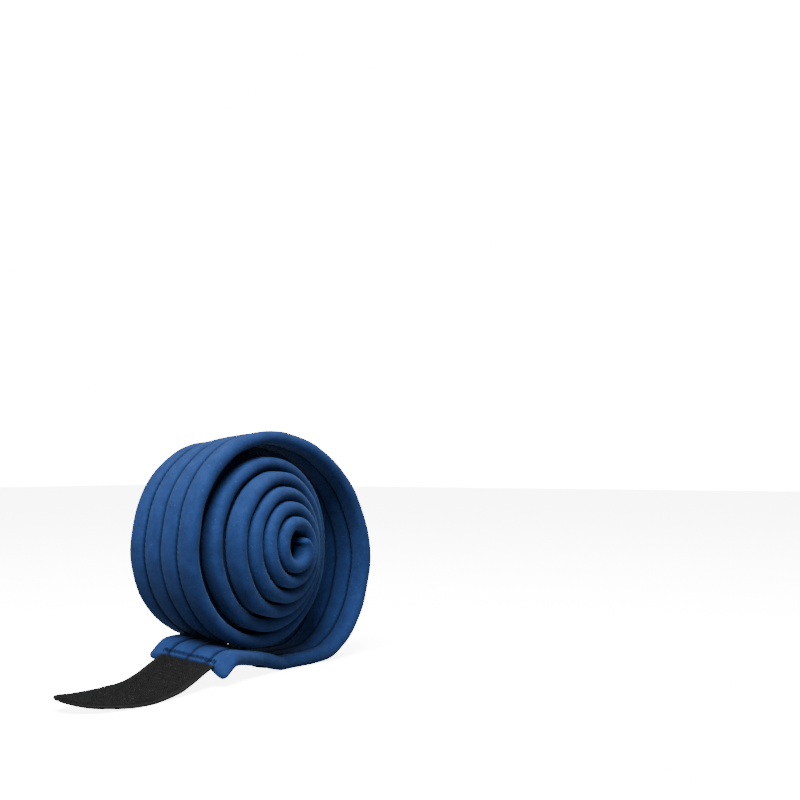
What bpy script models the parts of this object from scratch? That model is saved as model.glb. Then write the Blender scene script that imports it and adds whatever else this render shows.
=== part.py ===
"""Arm sling: a padded strap in a loose roll that stands on its rim, with a hook tape tab on its free end.

Metres, +Z up. The roll's axis lies along Y and the free end points to -X. The origin is the middle of the
flat stretch of strap that stands on the table. The strap is cut at hinge planes, so that it can unroll,
lift its flap and fold its tab. Each body's objects share one origin, on the joint that moves the body.
"""

import math

import bmesh
import bpy
from mathutils import Matrix, Vector

# Strap section
STRAP_WIDTH = 0.058
STRAP_THICKNESS = 0.008
COVER_THICKNESS = 0.0017
FOAM_CLEARANCE = 0.0009
EDGE_BEVEL = 0.0022
SEAM_SLIT = 0.0004
GROOVE_WIDTH = 0.0016
GROOVE_DEPTH = 0.0011
STITCH_WIDTH = 0.0009
STITCH_THICKNESS = 0.0005
GAP = 0.0003

# Roll: radius of the outer face from the roll's centre, against the winding angle in degrees. The angle is
# zero straight below the centre and grows towards +X; the strap winds inwards as it grows.
CENTRE_X = -0.028
CENTRE_Z = 0.0865
TIGHT_RADIUS = 0.0668
TURN_PITCH = 0.0102
LOOSE_TURN = [
    (0, 0.0865),
    (26, 0.0965),
    (40, 0.1080),
    (60, 0.1140),
    (80, 0.1105),
    (110, 0.0990),
    (140, 0.0855),
    (180, 0.0755),
    (225, 0.0742),
    (270, 0.0743),
    (315, 0.0708),
    (360, 0.0673),
    (405, 0.0655),
]
INNER_END_ANGLE = 2295
# How far each turn stands out towards -Y, against the winding angle
STAND_OUT = [
    (0, 0.0055),
    (60, 0.0095),
    (90, 0.0115),
    (180, 0.0015),
    (270, 0.0015),
    (450, 0.0005),
    (630, 0.0050),
    (810, 0.0060),
    (990, 0.0170),
    (1170, 0.0115),
    (1350, 0.0215),
    (1530, 0.0190),
    (1710, 0.0250),
    (1890, 0.0245),
    (2070, 0.0280),
    (2295, 0.0295),
]
# The tight turns have slid along X and Z from the loose turn's centre
ROLL_SLIDE = (0.003, 0.0003)
SLIDE_START = 270
SLIDE_SPREAD = 180
# Lean of the strap's section: the loose turn's far edge dips at the top, and the tight turns' far edges
# are a little higher than their near ones all the way round
TOP_LEAN = 5.5
TOP_LEAN_ANGLE = 185
TOP_LEAN_SPREAD = 100
ROLL_LEAN = 4.2
ROLL_LEAN_START = 290
ROLL_LEAN_SPREAD = 50
INNER_TURNS = 5

# Free end: the rise of the strap and its turn towards -Y, in degrees, against the length from where it
# leaves the table
TABLE_END_X = -0.014
TAIL_RISE = [
    (0.000, 0),
    (0.008, 22),
    (0.020, 21),
    (0.036, 14),
    (0.050, 10),
    (0.060, 4),
    (0.070, -7),
    (0.084, -12),
    (0.094, -18),
    (0.108, -18),
    (0.120, -11),
    (0.132, -4),
    (0.146, 0),
    (0.190, 5),
]
TAIL_TURN = [(0.004, 0), (0.040, 9), (0.076, 13), (0.095, 9), (0.135, 5), (0.190, 4)]
TAIL_TILT = 9.5
TAIL_TILT_END = 0.050
FLAP_HINGE_LENGTH = 0.060
FOAM_END_LENGTH = 0.071
FLAP_END_LENGTH = 0.084
TAIL_STEP = 0.001

# Hook tape
TAPE_WIDTH = 0.038
TAPE_THICKNESS = 0.0011
HOOK_HEIGHT = 0.0012
HOOK_MARGIN = 0.0012
TAPE_LIFT = 0.0026
TAPE_START_LENGTH = 0.072
TAPE_HINGE_LENGTH = 0.089
TAPE_BEND_LENGTH = 0.138
TAPE_END_LENGTH = 0.190
TAPE_CORNER = 0.007
TAPE_CORNER_RINGS = 4

# Joints of the unrolling half turn: the strap's heading at each hinge, in degrees
HINGE_HEADINGS = [22.5, 67.5, 112.5, 157.5]

# How finely the solids follow the strap
TABLE_END_ANGLE = math.degrees(math.atan2(TABLE_END_X - CENTRE_X, CENTRE_Z))
LOOSE_END_ANGLE = LOOSE_TURN[-1][0]
LOOSE_RING_ANGLE = 9
TIGHT_RING_ANGLE = 22.5
RING_LENGTH = 0.005

# End seams
THREAD_RADIUS = 0.0004
ZIGZAG_PITCH = 0.0026
ZIGZAG_REACH = 0.0035
INNER_SEAM_ANGLE = 2283
INNER_SEAM_WIDTH = 0.044
OUTER_SEAM_LENGTH = 0.080


def clear_scene():
    for thing in list(bpy.data.objects):
        bpy.data.objects.remove(thing)


def make_material(name, colour, roughness):
    material = bpy.data.materials.new(name)
    material.use_nodes = True
    shader = material.node_tree.nodes["Principled BSDF"]
    shader.inputs["Base Color"].default_value = (*colour, 1)
    shader.inputs["Roughness"].default_value = roughness
    shader.inputs["Metallic"].default_value = 0
    return material


def through(points, x):
    """The height at x of a smooth curve through the points, which are in order of x."""
    if x <= points[0][0]:
        return points[0][1]
    if x >= points[-1][0]:
        return points[-1][1]
    i = max(k for k in range(len(points) - 1) if points[k][0] <= x)
    slopes = []
    for k in (i, i + 1):
        before, after = points[max(k - 1, 0)], points[min(k + 1, len(points) - 1)]
        slopes.append((after[1] - before[1]) / (after[0] - before[0]))
    (x0, y0), (x1, y1) = points[i], points[i + 1]
    width = x1 - x0
    t = (x - x0) / width
    value = (2 * t**3 - 3 * t**2 + 1) * y0 + (3 * t**2 - 2 * t**3) * y1
    return value + width * ((t**3 - 2 * t**2 + t) * slopes[0] + (t**3 - t**2) * slopes[1])


def ease(t):
    t = min(max(t, 0), 1)
    return t * t * (3 - 2 * t)


# Roll


def roll_point(angle):
    """The outer face at a winding angle, as X and Z. The table presses its lowest stretch flat."""
    if angle < LOOSE_END_ANGLE:
        radius = through(LOOSE_TURN, angle)
    else:
        radius = TIGHT_RADIUS - TURN_PITCH * (angle - 360) / 360
    turn = math.radians(angle)
    slid = ease((angle - SLIDE_START) / SLIDE_SPREAD)
    x, z = CENTRE_X + ROLL_SLIDE[0] * slid, CENTRE_Z + ROLL_SLIDE[1] * slid
    return x + radius * math.sin(turn), max(z - radius * math.cos(turn), 0)


def roll_heading(angle):
    """The way the strap runs at a winding angle, in degrees up from +X, between -90 and 270."""
    (x0, z0), (x1, z1) = roll_point(angle - 0.5), roll_point(angle + 0.5)
    return (math.degrees(math.atan2(z1 - z0, x1 - x0)) + 90) % 360 - 90


def roll_station(angle):
    """A frame on the outer face: local X across the strap, local Y inwards through it."""
    x, z = roll_point(angle)
    heading = math.radians(roll_heading(angle))
    inward = Vector((-math.sin(heading), 0, math.cos(heading)))
    lean = TOP_LEAN * (1 - ease(abs(angle - TOP_LEAN_ANGLE) / TOP_LEAN_SPREAD))
    lean += ROLL_LEAN * ease((angle - ROLL_LEAN_START) / ROLL_LEAN_SPREAD) * math.cos(math.radians(angle))
    lean = math.radians(lean)
    across = Vector((0, math.cos(lean), 0)) + inward * math.sin(lean)
    return station(Vector((x, -through(STAND_OUT, angle), z)), across, inward * math.cos(lean))


def station(place, across, inward):
    frame = Matrix((across, inward, across.cross(inward))).transposed().to_4x4()
    frame.translation = place
    return frame


def angle_of_heading(heading):
    """The winding angle in the loose turn at which the strap has this heading."""
    low, high = TABLE_END_ANGLE, TOP_LEAN_ANGLE
    for _ in range(40):
        middle = (low + high) / 2
        if roll_heading(middle) < heading:
            low = middle
        else:
            high = middle
    return middle


def hinge_point(angle):
    """A point of an unrolling joint's axis, which lies along Y, level with the edge that stands out most."""
    x, _, z = roll_station(angle) @ Vector((-STRAP_WIDTH / 2, 0, 0))
    return Vector((x, 0, z))


# Free end


def tail_stations():
    """Frames along the free end, one each TAIL_STEP: it rises, turns towards -Y and tilts as it goes."""
    frames = []
    place = roll_station(TABLE_END_ANGLE).translation
    for k in range(round(TAPE_END_LENGTH / TAIL_STEP) + 1):
        length = k * TAIL_STEP
        rise = math.radians(through(TAIL_RISE, length))
        turn = math.radians(through(TAIL_TURN, length))
        tilt = math.radians(TAIL_TILT) * ease(length / TAIL_TILT_END)
        way = Vector((-math.cos(turn) * math.cos(rise), -math.sin(turn) * math.cos(rise), math.sin(rise)))
        level = Vector((-math.sin(turn), math.cos(turn), 0))
        upright = level.cross(way)
        across = level * math.cos(tilt) + upright * math.sin(tilt)
        frames.append(station(place.copy(), across, across.cross(way)))
        place += way * TAIL_STEP
    return frames


TAIL = tail_stations()


def tail_station(length):
    """The frame at any length along the free end."""
    k = min(int(length / TAIL_STEP), len(TAIL) - 2)
    return TAIL[k].lerp(TAIL[k + 1], length / TAIL_STEP - k)


# Solids


def add(name, data, pivot, material):
    """An object with its origin on the pivot, for a mesh or curve whose points are measured from there."""
    part = bpy.data.objects.new(name, data)
    part.location = pivot
    data.materials.append(material)
    bpy.data.collections["Arm sling"].objects.link(part)


def sweep(name, outline_at, frames, pivot, material):
    """A closed solid: an outline of (across, up) points, extruded from frame to frame."""
    bm = bmesh.new()
    corner = bm.verts.layers.int.new("corner")
    face = bm.faces.new([bm.verts.new() for _ in outline_at(0)])
    for index, vert in enumerate(face.verts):
        vert[corner] = index
    for step, frame in enumerate(frames):
        if step:
            grown = bmesh.ops.extrude_face_region(bm, geom=[face])["geom"]
            if step > 1:
                bmesh.ops.delete(bm, geom=[face], context="FACES_ONLY")
            face = next(item for item in grown if isinstance(item, bmesh.types.BMFace))
        outline = outline_at(step)
        for vert in face.verts:
            vert.co = frame @ Vector((*outline[vert[corner]], 0)) - pivot
    bmesh.ops.recalc_face_normals(bm, faces=bm.faces)
    mesh = bpy.data.meshes.new(name)
    bm.to_mesh(mesh)
    bm.free()
    add(name, mesh, pivot, material)


def mirrored(half):
    return half + [(-across, up) for across, up in reversed(half)]


def box_outline(width, low, high):
    return [(width / 2, low), (width / 2, high), (-width / 2, high), (-width / 2, low)]


def cover_outline():
    """The fabric folded round the filling, open only at the slit where its edges meet."""
    side, top = STRAP_WIDTH / 2, STRAP_THICKNESS
    groove, half = STRAP_WIDTH / 4, GROOVE_WIDTH / 2
    inner = side - COVER_THICKNESS
    outside = [
        (SEAM_SLIT / 2, COVER_THICKNESS),
        (SEAM_SLIT / 2, 0),
        (groove - half, 0),
        (groove - half, GROOVE_DEPTH),
        (groove + half, GROOVE_DEPTH),
        (groove + half, 0),
        (side - EDGE_BEVEL, 0),
        (side, EDGE_BEVEL),
        (side, top - EDGE_BEVEL),
        (side - EDGE_BEVEL, top),
    ]
    inside = [(inner, COVER_THICKNESS), (inner, top - COVER_THICKNESS)]
    return mirrored(outside) + mirrored(inside)[::-1]


def strap_length(prefix, frames, pivot, looks, foam_frames=None):
    """The cover, filling and two stitch rows of one length of strap."""
    inset = COVER_THICKNESS + FOAM_CLEARANCE
    filling = box_outline(STRAP_WIDTH - 2 * inset, inset, STRAP_THICKNESS - inset)
    sweep(f"{prefix}_cover", lambda step: cover_outline(), frames, pivot, looks["cover"])
    sweep(f"{prefix}_foam", lambda step: filling, foam_frames or frames, pivot, looks["foam"])
    low = GROOVE_DEPTH - GAP - STITCH_THICKNESS
    row = box_outline(STITCH_WIDTH, low, low + STITCH_THICKNESS)
    for side, name in ((-1, "near"), (1, "far")):
        line = [(side * STRAP_WIDTH / 4 + across, up) for across, up in row]
        sweep(f"{prefix}_{name}_stitch_row", lambda step, line=line: line, frames, pivot, looks["thread"])


def trimmed(frames, start=GAP / 2, end=GAP / 2):
    """The frames with the first and last moved inwards along the strap, so that two lengths don't touch."""
    frames = [frame.copy() for frame in frames]
    frames[0].translation += (frames[1].translation - frames[0].translation).normalized() * start
    frames[-1].translation += (frames[-2].translation - frames[-1].translation).normalized() * end
    return frames


def zigzag(name, frame, width, up, pivot, material):
    """A thread that runs to and fro across the strap on one of its faces."""
    count = int(width / ZIGZAG_PITCH)
    line = bpy.data.curves.new(name, "CURVE")
    line.dimensions = "3D"
    line.bevel_depth = THREAD_RADIUS
    line.bevel_resolution = 1
    line.use_fill_caps = True
    spline = line.splines.new("POLY")
    spline.points.add(count)
    for k, point in enumerate(spline.points):
        across = width * (k / count - 0.5)
        along = ZIGZAG_REACH / 2 * (1 if k % 2 else -1)
        point.co = (*(frame @ Vector((across, up, along)) - pivot), 1)
    add(name, line, pivot, material)


def tape_outline(width, low, high, lengths):
    """A strip's outline at each of these lengths. It narrows round the corners of the tape's end."""

    def at(step):
        left = min(TAPE_END_LENGTH - lengths[step], TAPE_CORNER)
        inset = TAPE_CORNER - math.sqrt(TAPE_CORNER**2 - (TAPE_CORNER - left) ** 2)
        return box_outline(width - 2 * inset, low, high)

    return at


def tape_backing(name, lengths, frames, pivot, looks):
    outline = tape_outline(TAPE_WIDTH, TAPE_LIFT, TAPE_LIFT + TAPE_THICKNESS, lengths)
    sweep(name, outline, frames, pivot, looks["tape"])


def tape_hooks(name, lengths, frames, pivot, looks):
    low = TAPE_LIFT + TAPE_THICKNESS + GAP
    outline = tape_outline(TAPE_WIDTH - 2 * HOOK_MARGIN, low, low + HOOK_HEIGHT, lengths)
    sweep(name, outline, frames, pivot, looks["hooks"])


def spread_out(start, end, most):
    """Values from start to end, with steps no larger than most."""
    count = max(1, math.ceil(abs(end - start) / most - 1e-6))
    return [start + (end - start) * k / count for k in range(count + 1)]


def make_strap(looks):
    """The strap from the stretch under the roll to its inner end, a body for each length between hinges."""
    angles = [angle_of_heading(heading) for heading in HINGE_HEADINGS]
    hinges = [hinge_point(angle) for angle in angles]

    frames = [tail_station(length) for length in spread_out(FLAP_HINGE_LENGTH, 0, RING_LENGTH)]
    frames += [roll_station(angle) for angle in spread_out(TABLE_END_ANGLE, angles[0], LOOSE_RING_ANGLE)[1:]]
    strap_length("base", trimmed(frames), Vector((0, 0, 0)), looks)

    for k in range(3):
        frames = [roll_station(angle) for angle in spread_out(angles[k], angles[k + 1], LOOSE_RING_ANGLE)]
        strap_length(f"outer_turn_{k + 1}", trimmed(frames), hinges[k], looks)

    frames = [roll_station(angle) for angle in spread_out(angles[3], LOOSE_END_ANGLE, LOOSE_RING_ANGLE)]
    strap_length("outer_turn_4", trimmed(frames), hinges[3], looks)
    joins = spread_out(LOOSE_END_ANGLE, INNER_END_ANGLE, (INNER_END_ANGLE - LOOSE_END_ANGLE) / INNER_TURNS)
    for k in range(INNER_TURNS):
        frames = [roll_station(angle) for angle in spread_out(joins[k], joins[k + 1], TIGHT_RING_ANGLE)]
        end_gap = GAP / 2 if k < INNER_TURNS - 1 else 0
        strap_length(f"inner_turn_{k + 1}", trimmed(frames, end=end_gap), hinges[3], looks)
    seam_frame = roll_station(INNER_SEAM_ANGLE)
    zigzag("inner_end_seam", seam_frame, INNER_SEAM_WIDTH, -GAP - THREAD_RADIUS, hinges[3], looks["thread"])


def make_flap(looks):
    """The strap's outer end, from its hinge under the roll's left side."""
    hinge = tail_station(FLAP_HINGE_LENGTH) @ Vector((0, STRAP_THICKNESS, 0))
    frames = [tail_station(length) for length in spread_out(FLAP_HINGE_LENGTH, FLAP_END_LENGTH, RING_LENGTH)]
    inner = [tail_station(length) for length in spread_out(FLAP_HINGE_LENGTH, FOAM_END_LENGTH, RING_LENGTH)]
    strap_length("flap", trimmed(frames, end=0), hinge, looks, trimmed(inner, end=0))
    seam_up = STRAP_THICKNESS + GAP + THREAD_RADIUS
    zigzag("outer_end_seam", tail_station(OUTER_SEAM_LENGTH), TAPE_WIDTH, seam_up, hinge, looks["thread"])
    lengths = spread_out(TAPE_START_LENGTH, TAPE_HINGE_LENGTH, RING_LENGTH)
    tape_backing("hook_tape_sewn_end", lengths, trimmed([tail_station(x) for x in lengths]), hinge, looks)


def make_tab(looks):
    """The hook tape past the flap, in two lengths that bend towards their hooks."""
    top = TAPE_LIFT + TAPE_THICKNESS + GAP + HOOK_HEIGHT
    corner_start = TAPE_END_LENGTH - TAPE_CORNER
    root_lengths = spread_out(TAPE_HINGE_LENGTH, TAPE_BEND_LENGTH, RING_LENGTH)
    tip_lengths = spread_out(TAPE_BEND_LENGTH, corner_start, RING_LENGTH)
    for k in range(1, TAPE_CORNER_RINGS + 1):
        tip_lengths.append(corner_start + TAPE_CORNER * math.sin(math.pi / 2 * k / TAPE_CORNER_RINGS))
    for part, lengths, end_gap in (("root", root_lengths, GAP / 2), ("tip", tip_lengths, 0)):
        hinge = tail_station(lengths[0]) @ Vector((0, top, 0))
        frames = trimmed([tail_station(length) for length in lengths], end=end_gap)
        tape_backing(f"hook_tape_{part}_backing", lengths, frames, hinge, looks)
        tape_hooks(f"hook_tape_{part}_hooks", lengths, frames, hinge, looks)


def main():
    clear_scene()
    collection = bpy.data.collections.new("Arm sling")
    bpy.context.scene.collection.children.link(collection)
    looks = {
        "cover": make_material("brushed blue fabric", (0.030, 0.100, 0.240), 0.9),
        "foam": make_material("soft foam", (0.55, 0.55, 0.50), 0.95),
        "thread": make_material("navy thread", (0.008, 0.020, 0.060), 0.8),
        "tape": make_material("black woven tape", (0.018, 0.018, 0.018), 0.8),
        "hooks": make_material("black hooks", (0.030, 0.030, 0.030), 0.6),
    }
    make_strap(looks)
    make_flap(looks)
    make_tab(looks)


main()
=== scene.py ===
# %% [markdown]
# # Rolled arm sling
# The object is a sling made of one long padded strap. Someone has wound it into a loose roll and stood it
# on its rim, so that its outer end comes out under the roll, with a tab of hook tape sewn to it.
# Every soft piece here follows one path, the way that the strap is wound. So the lesson is this: work out
# the path once, as a row of small frames, and sweep each piece along it.

# %% Load the frame
import math

import bpy
import numpy as np
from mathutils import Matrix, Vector


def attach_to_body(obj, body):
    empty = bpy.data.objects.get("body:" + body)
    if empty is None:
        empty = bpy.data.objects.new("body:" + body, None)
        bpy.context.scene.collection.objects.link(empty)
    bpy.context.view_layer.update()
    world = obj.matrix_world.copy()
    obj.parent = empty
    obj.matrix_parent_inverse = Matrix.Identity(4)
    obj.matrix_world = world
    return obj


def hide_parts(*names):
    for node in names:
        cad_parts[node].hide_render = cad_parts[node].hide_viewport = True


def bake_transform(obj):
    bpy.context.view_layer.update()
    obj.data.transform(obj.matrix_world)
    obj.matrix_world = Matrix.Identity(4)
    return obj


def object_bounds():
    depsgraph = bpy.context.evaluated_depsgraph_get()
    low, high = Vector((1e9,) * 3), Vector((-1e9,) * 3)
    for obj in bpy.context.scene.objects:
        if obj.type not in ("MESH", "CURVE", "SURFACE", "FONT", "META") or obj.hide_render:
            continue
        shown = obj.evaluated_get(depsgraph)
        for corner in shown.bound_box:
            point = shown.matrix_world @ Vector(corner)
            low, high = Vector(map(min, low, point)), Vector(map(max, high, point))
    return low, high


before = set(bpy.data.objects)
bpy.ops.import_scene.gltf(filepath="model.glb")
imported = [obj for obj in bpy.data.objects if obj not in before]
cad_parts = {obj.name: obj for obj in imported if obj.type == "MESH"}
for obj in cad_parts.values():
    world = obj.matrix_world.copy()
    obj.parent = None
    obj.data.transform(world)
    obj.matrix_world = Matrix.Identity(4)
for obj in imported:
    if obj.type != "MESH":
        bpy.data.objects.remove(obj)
cad_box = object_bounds()
print("CAD box", [round(1000 * x) for corner in cad_box for x in corner], "mm")

# %% [markdown]
# ## Camera
# The roll is seen a little from its left, from just above its middle. A level camera keeps upright things
# upright. A small vertical shift of the lens then lowers the view, where tilting the camera would make the
# sides of the roll lean.

# %% Camera
CAMERA_PLACE = (-0.6484, -0.552, 0.141)
CAMERA_TURN = -56.3

lens = bpy.data.cameras.new("camera")
lens.sensor_width = 36
lens.lens = 53.06
lens.shift_y = 0.0825
camera = bpy.data.objects.new("camera", lens)
camera.location = CAMERA_PLACE
camera.rotation_euler = (math.radians(90), 0, math.radians(CAMERA_TURN))
bpy.context.scene.collection.objects.link(camera)
bpy.context.scene.camera = camera
print("camera", round(Vector(CAMERA_PLACE).length, 2), "m from the strap's resting place")

# %% [markdown]
# ## Floor and light
# A pale floor takes one soft shadow. Most of the light comes from a large soft box at the upper left, a
# little in front. A weaker one above keeps the top of the roll from going dark. The larger a lamp looks
# from the object, the softer the shadow's edge.
# A studio's white floor and backdrop are lit on their own, so that they come out nearly white without
# spilling on the object. Light Path does the same here: its Is Camera Ray is 1 only for what is seen
# directly, so the extra brightness of floor and world is seen, but lights nothing.

# %% Floor and light
FLOOR_SIDE = 12
FLOOR_DROP = 0.0002
FLOOR_BOUNCE = 0.30
FLOOR_SEEN = 3.0
FLOOR_GLOW = 7.0
WORLD_LIGHT = 0.42
WORLD_SEEN = 18.0
WHITE = (1, 1, 1, 1)
LAMPS = [("key", (-0.66, -0.34, 1.15), 0.7, 70), ("top fill", (0.10, -0.25, 1.40), 1.0, 22)]


def seen_directly(tree, socket, hidden, seen):
    """Gives the socket one value for what the camera sees directly, and another for all other rays."""
    rays = tree.nodes.new("ShaderNodeLightPath")
    choice = tree.nodes.new("ShaderNodeMapRange")
    choice.inputs["To Min"].default_value = hidden
    choice.inputs["To Max"].default_value = seen
    tree.links.new(rays.outputs["Is Camera Ray"], choice.inputs["Value"])
    tree.links.new(choice.outputs["Result"], socket)


def make_floor():
    bpy.ops.mesh.primitive_plane_add(size=FLOOR_SIDE, location=(0, 0, -FLOOR_DROP))
    floor = bpy.context.object
    floor.name = "floor"
    look = bpy.data.materials.new("pale floor")
    look.use_nodes = True
    shader = look.node_tree.nodes["Principled BSDF"]
    shader.inputs["Roughness"].default_value = 0.9
    shader.inputs["Specular IOR Level"].default_value = 0.1
    seen_directly(look.node_tree, shader.inputs["Base Color"], FLOOR_BOUNCE, FLOOR_SEEN)
    shader.inputs["Emission Color"].default_value = WHITE
    seen_directly(look.node_tree, shader.inputs["Emission Strength"], 0.0, FLOOR_GLOW)
    floor.data.materials.append(look)


def make_lamp(name, place, target, side, power):
    """A square lamp that faces its target."""
    light = bpy.data.lights.new(name, "AREA")
    light.size = side
    light.energy = power
    lamp = bpy.data.objects.new(name, light)
    lamp.location = place
    lamp.rotation_euler = (Vector(target) - Vector(place)).to_track_quat("-Z", "Y").to_euler()
    bpy.context.scene.collection.objects.link(lamp)


make_floor()
middle = (cad_box[0] + cad_box[1]) / 2
for name, place, side, power in LAMPS:
    make_lamp(name, place, middle, side, power)

world = bpy.data.worlds.new("studio")
world.use_nodes = True
backdrop = world.node_tree.nodes["Background"]
backdrop.inputs["Color"].default_value = WHITE
seen_directly(world.node_tree, backdrop.inputs["Strength"], WORLD_LIGHT, WORLD_SEEN)
bpy.context.scene.world = world
print("lamps", [(name, power) for name, _, _, power in LAMPS], "W")

# %% [markdown]
# ## The path: a curve through a few points
# The strap's winding isn't a plain spiral. Its outer turn stands away from the rest, and the inner turns
# have slipped out to one side. A few heights, joined by a smooth curve, say how each of these changes along
# the strap. A cubic curve that passes through its points is handy for this: moving one point changes only
# the stretch next to it.

# %% A smooth curve through points
def through(points, x):
    """The heights at x of a smooth curve through the points, which are in order of x."""
    xs, ys = np.array(points, float).T
    x = np.clip(x, xs[0], xs[-1])
    i = np.clip(np.searchsorted(xs, x, side="right") - 1, 0, len(xs) - 2)
    before = np.maximum(np.arange(len(xs)) - 1, 0)
    after = np.minimum(np.arange(len(xs)) + 1, len(xs) - 1)
    slopes = (ys[after] - ys[before]) / (xs[after] - xs[before])
    width = xs[i + 1] - xs[i]
    t = (x - xs[i]) / width
    level = (2 * t**3 - 3 * t**2 + 1) * ys[i] + (3 * t**2 - 2 * t**3) * ys[i + 1]
    return level + width * ((t**3 - 2 * t**2 + t) * slopes[i] + (t**3 - t**2) * slopes[i + 1])


def ease(t):
    """Goes smoothly from 0 to 1."""
    t = np.clip(t, 0, 1)
    return t * t * (3 - 2 * t)


print("halfway up a step from 0 to 1:", through([(0, 0), (1, 1)], 0.5))

# %% [markdown]
# ## The roll's winding
# The winding angle starts straight below the roll's centre and grows as the strap goes round and inwards.
# At each angle three things are known: how far the outer face is from the centre, how far that turn has
# slipped towards the viewer, and how much the strap leans.

# %% The roll's winding
STRAP_WIDTH = 0.058
STRAP_THICKNESS = 0.008
CENTRE_X = -0.028
CENTRE_Z = 0.0865
TIGHT_RADIUS = 0.0668
TURN_PITCH = 0.0102
ROLL_SLIDE = (0.003, 0.0003)
SLIDE_START = 270
SLIDE_SPREAD = 180
LOOSE_TURN = [
    (0, 0.0865),
    (26, 0.0965),
    (40, 0.1080),
    (60, 0.1140),
    (80, 0.1105),
    (110, 0.0990),
    (140, 0.0855),
    (180, 0.0755),
    (225, 0.0742),
    (270, 0.0743),
    (315, 0.0708),
    (360, 0.0673),
    (405, 0.0655),
]
STAND_OUT = [
    (0, 0.0055),
    (60, 0.0095),
    (90, 0.0115),
    (180, 0.0015),
    (270, 0.0015),
    (450, 0.0005),
    (630, 0.0050),
    (810, 0.0060),
    (990, 0.0170),
    (1170, 0.0115),
    (1350, 0.0215),
    (1530, 0.0190),
    (1710, 0.0250),
    (1890, 0.0245),
    (2070, 0.0280),
    (2295, 0.0295),
]
TOP_LEAN = math.radians(5.5)
TOP_LEAN_ANGLE = 185
TOP_LEAN_SPREAD = 100
ROLL_LEAN = math.radians(4.2)
ROLL_LEAN_START = 290
ROLL_LEAN_SPREAD = 50
TABLE_END_X = -0.014
TABLE_END_ANGLE = math.degrees(math.atan2(TABLE_END_X - CENTRE_X, CENTRE_Z))
INNER_END_ANGLE = 2295


def roll_point(angle):
    """X and Z of the outer face. The table presses the lowest stretch flat."""
    tight = TIGHT_RADIUS - TURN_PITCH * (angle - 360) / 360
    radius = np.where(angle < LOOSE_TURN[-1][0], through(LOOSE_TURN, angle), tight)
    turn, slid = np.radians(angle), ease((angle - SLIDE_START) / SLIDE_SPREAD)
    x, z = CENTRE_X + ROLL_SLIDE[0] * slid, CENTRE_Z + ROLL_SLIDE[1] * slid
    return x + radius * np.sin(turn), np.maximum(z - radius * np.cos(turn), 0)


def roll_frames(angle):
    """For each angle: the place on the outer face, the way across the strap, and the way in through it."""
    x, z = roll_point(angle)
    (x0, z0), (x1, z1) = roll_point(angle - 1), roll_point(angle + 1)
    way = np.stack([x1 - x0, 0 * x, z1 - z0], 1)
    way /= np.linalg.norm(way, axis=1, keepdims=True)
    inward = np.stack([-way[:, 2], 0 * x, way[:, 0]], 1)
    lean = TOP_LEAN * (1 - ease(np.abs((angle - TOP_LEAN_ANGLE) / TOP_LEAN_SPREAD)))
    lean += ROLL_LEAN * ease((angle - ROLL_LEAN_START) / ROLL_LEAN_SPREAD) * np.cos(np.radians(angle))
    lean = lean[:, None]
    across = np.array([0, 1, 0]) * np.cos(lean) + inward * np.sin(lean)
    return np.stack([x, -through(STAND_OUT, angle), z], 1), across, np.cross(way, across)


print("the loose turn is", round(1000 * roll_point(180.0)[1]), "mm high")

# %% [markdown]
# ## The free end
# From the place where it leaves the table, the outer end goes the other way: up over a hump, down again,
# and a little towards the viewer. It also tilts, so that its near edge is lower. Here the path is built by
# taking small steps, each in the direction that the rise and the turn give at that length.

# %% The free end
TAIL_RISE = [
    (0.000, 0),
    (0.008, 22),
    (0.020, 21),
    (0.036, 14),
    (0.050, 10),
    (0.060, 4),
    (0.070, -7),
    (0.084, -12),
    (0.094, -18),
    (0.108, -18),
    (0.120, -11),
    (0.132, -4),
    (0.146, 0),
    (0.190, 5),
]
TAIL_TURN = [(0.004, 0), (0.040, 9), (0.076, 13), (0.095, 9), (0.135, 5), (0.190, 4)]
TAIL_TILT = math.radians(9.5)
TAIL_TILT_END = 0.050
TAIL_STEP = 0.001
FLAP_END = 0.084
TAPE_START = 0.072
TAPE_END = 0.190


def tail_table():
    """Frames at each TAIL_STEP along the free end, as three arrays."""
    length = np.arange(round(TAPE_END / TAIL_STEP) + 1) * TAIL_STEP
    rise, turn = np.radians(through(TAIL_RISE, length)), np.radians(through(TAIL_TURN, length))
    way = np.stack([-np.cos(turn) * np.cos(rise), -np.sin(turn) * np.cos(rise), np.sin(rise)], 1)
    level = np.stack([-np.sin(turn), np.cos(turn), 0 * turn], 1)
    upright = np.cross(level, way)
    tilt = (TAIL_TILT * ease(length / TAIL_TILT_END))[:, None]
    across = level * np.cos(tilt) + upright * np.sin(tilt)
    start = roll_frames(np.array([TABLE_END_ANGLE]))[0]
    place = start + np.vstack([[0, 0, 0], np.cumsum(way[:-1] * TAIL_STEP, axis=0)])
    return length, place, across, np.cross(across, way)


TAIL = tail_table()


def tail_frames(length):
    """The frames at any lengths along the free end."""
    found = [np.stack([np.interp(length, TAIL[0], row) for row in part.T], 1) for part in TAIL[1:]]
    for part in found[1:]:
        part /= np.linalg.norm(part, axis=1, keepdims=True)
    return found


print("the free end reaches x =", round(TAIL[1][-1, 0], 3), "m")

# %% [markdown]
# ## One path for the whole strap
# Now both parts are joined into one path, measured in metres from the strap's outer end. Everything that is
# sewn repeats at the stitch pitch, so the rings of the mesh are spaced at a third of a stitch. A ring then
# always falls on each needle hole.

# %% One path for the whole strap
STITCH_PITCH = 0.0038
RING = STITCH_PITCH / 3

PATH_STEPS = 6000

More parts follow.
